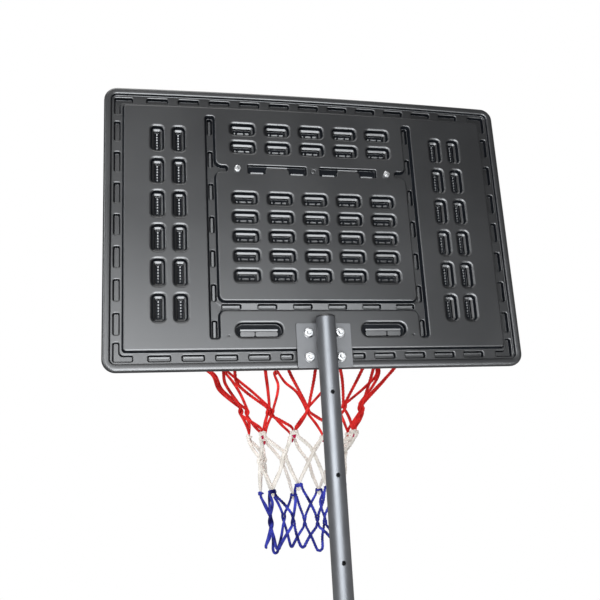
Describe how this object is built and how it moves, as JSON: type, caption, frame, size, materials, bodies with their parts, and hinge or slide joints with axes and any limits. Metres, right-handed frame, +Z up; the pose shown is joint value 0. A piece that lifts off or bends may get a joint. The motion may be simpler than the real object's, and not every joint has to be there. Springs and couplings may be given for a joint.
{
  "type": "portable basketball hoop",
  "caption": "Free-standing basketball hoop: moulded backboard with rim and hanging net on a telescoping steel pole, braced on a wheeled, fillable base tank.",
  "frame": {"origin": "on the floor, on the pole's axis", "axes": "+Z up along the pole; -Y towards the court, so the rim is in front of the board; +X right as seen from the court"},
  "size_m": [0.72, 0.9415, 2.132],
  "materials": {
    "board_plastic": "satin black blow-moulded polyethylene",
    "pole_paint": "satin dark grey powder coat on steel",
    "rim_paint": "semi-gloss red powder coat on steel",
    "zinc": "bright zinc plate",
    "fitting_plastic": "black moulded plastic",
    "tank_plastic": "satin black blow-moulded polyethylene",
    "wheel_plastic": "black moulded plastic",
    "seal_rubber": "matt",
    "net_cord": "red, off-white and blue polyester cord"
  },
  "bodies": {
    "base": {"middle_pole_tube": "pole_paint", "bottom_pole_tube": "pole_paint", "strut_left": "pole_paint", "strut_right": "pole_paint", "pole_joint_bolt": "zinc", "pole_joint_nut": "zinc", "wheel_axle": "zinc", "strut_top_bolt": "zinc", "strut_top_nut": "zinc", "strut_screw_left": "zinc", "strut_screw_right": "zinc", "height_collar": "fitting_plastic", "axle_cap_left": "fitting_plastic", "axle_cap_right": "fitting_plastic", "base_tank": "tank_plastic"},
    "head": {"backboard": "board_plastic", "rear_bracket": "pole_paint", "upper_pole_tube": "pole_paint", "pole_top_cap": "fitting_plastic", "rim_bracket": "rim_paint", "rim_ring": "rim_paint", "rim_stay_left": "rim_paint", "rim_stay_right": "rim_paint", "net": "net_cord", "board_bolt_1": "zinc", "board_bolt_2": "zinc", "board_bolt_3": "zinc", "board_bolt_4": "zinc", "board_nut_1": "zinc", "board_nut_2": "zinc", "board_nut_3": "zinc", "board_nut_4": "zinc", "stay_board_bolt_left": "zinc", "stay_board_bolt_right": "zinc", "stay_board_nut_left": "zinc", "stay_board_nut_right": "zinc", "stay_ring_bolt_left": "zinc", "stay_ring_bolt_right": "zinc", "stay_ring_nut_left": "zinc", "stay_ring_nut_right": "zinc"},
    "height_screw": {"height_screw": "zinc"},
    "height_knob": {"height_knob": "fitting_plastic"},
    "wheel_left": {"wheel_left": "wheel_plastic"},
    "wheel_right": {"wheel_right": "wheel_plastic"},
    "filler_seal": {"filler_seal": "seal_rubber"},
    "filler_cap": {"filler_cap": "fitting_plastic"}
  },
  "joints": [
    {"name": "height_slide", "type": "slide", "parent": "base", "child": "head", "axis": [0, 0, 1], "range_m": [-0.13, 0.26]},
    {"name": "screw_travel", "type": "slide", "parent": "base", "child": "height_screw", "axis": [0, -1, 0], "range_m": [-0.00255, 0.00505]},
    {"name": "knob_turn", "type": "hinge", "parent": "height_screw", "child": "height_knob", "pos_m": [0, 0.064, 1.196], "axis": [0, -1, 0], "range_deg": [-720, 1440]},
    {"name": "wheel_left_spin", "type": "hinge", "parent": "base", "child": "wheel_left", "pos_m": [-0.2205, -0.15, 0.038], "axis": [1, 0, 0], "continuous": true},
    {"name": "wheel_right_spin", "type": "hinge", "parent": "base", "child": "wheel_right", "pos_m": [0.2205, -0.15, 0.038], "axis": [1, 0, 0], "continuous": true},
    {"name": "cap_lift", "type": "slide", "parent": "base", "child": "filler_seal", "axis": [0, 0, 1], "range_m": [0, 0.01005]},
    {"name": "cap_turn", "type": "hinge", "parent": "filler_seal", "child": "filler_cap", "pos_m": [0, 0.3, 0.15], "axis": [0, 0, 1], "range_deg": [0, 900]}
  ],
  "couplings": [
    {"joint": "screw_travel", "follows": "knob_turn", "m_per_rad": 0.00019894},
    {"joint": "cap_lift", "follows": "cap_turn", "m_per_rad": 0.00063662}
  ]
}
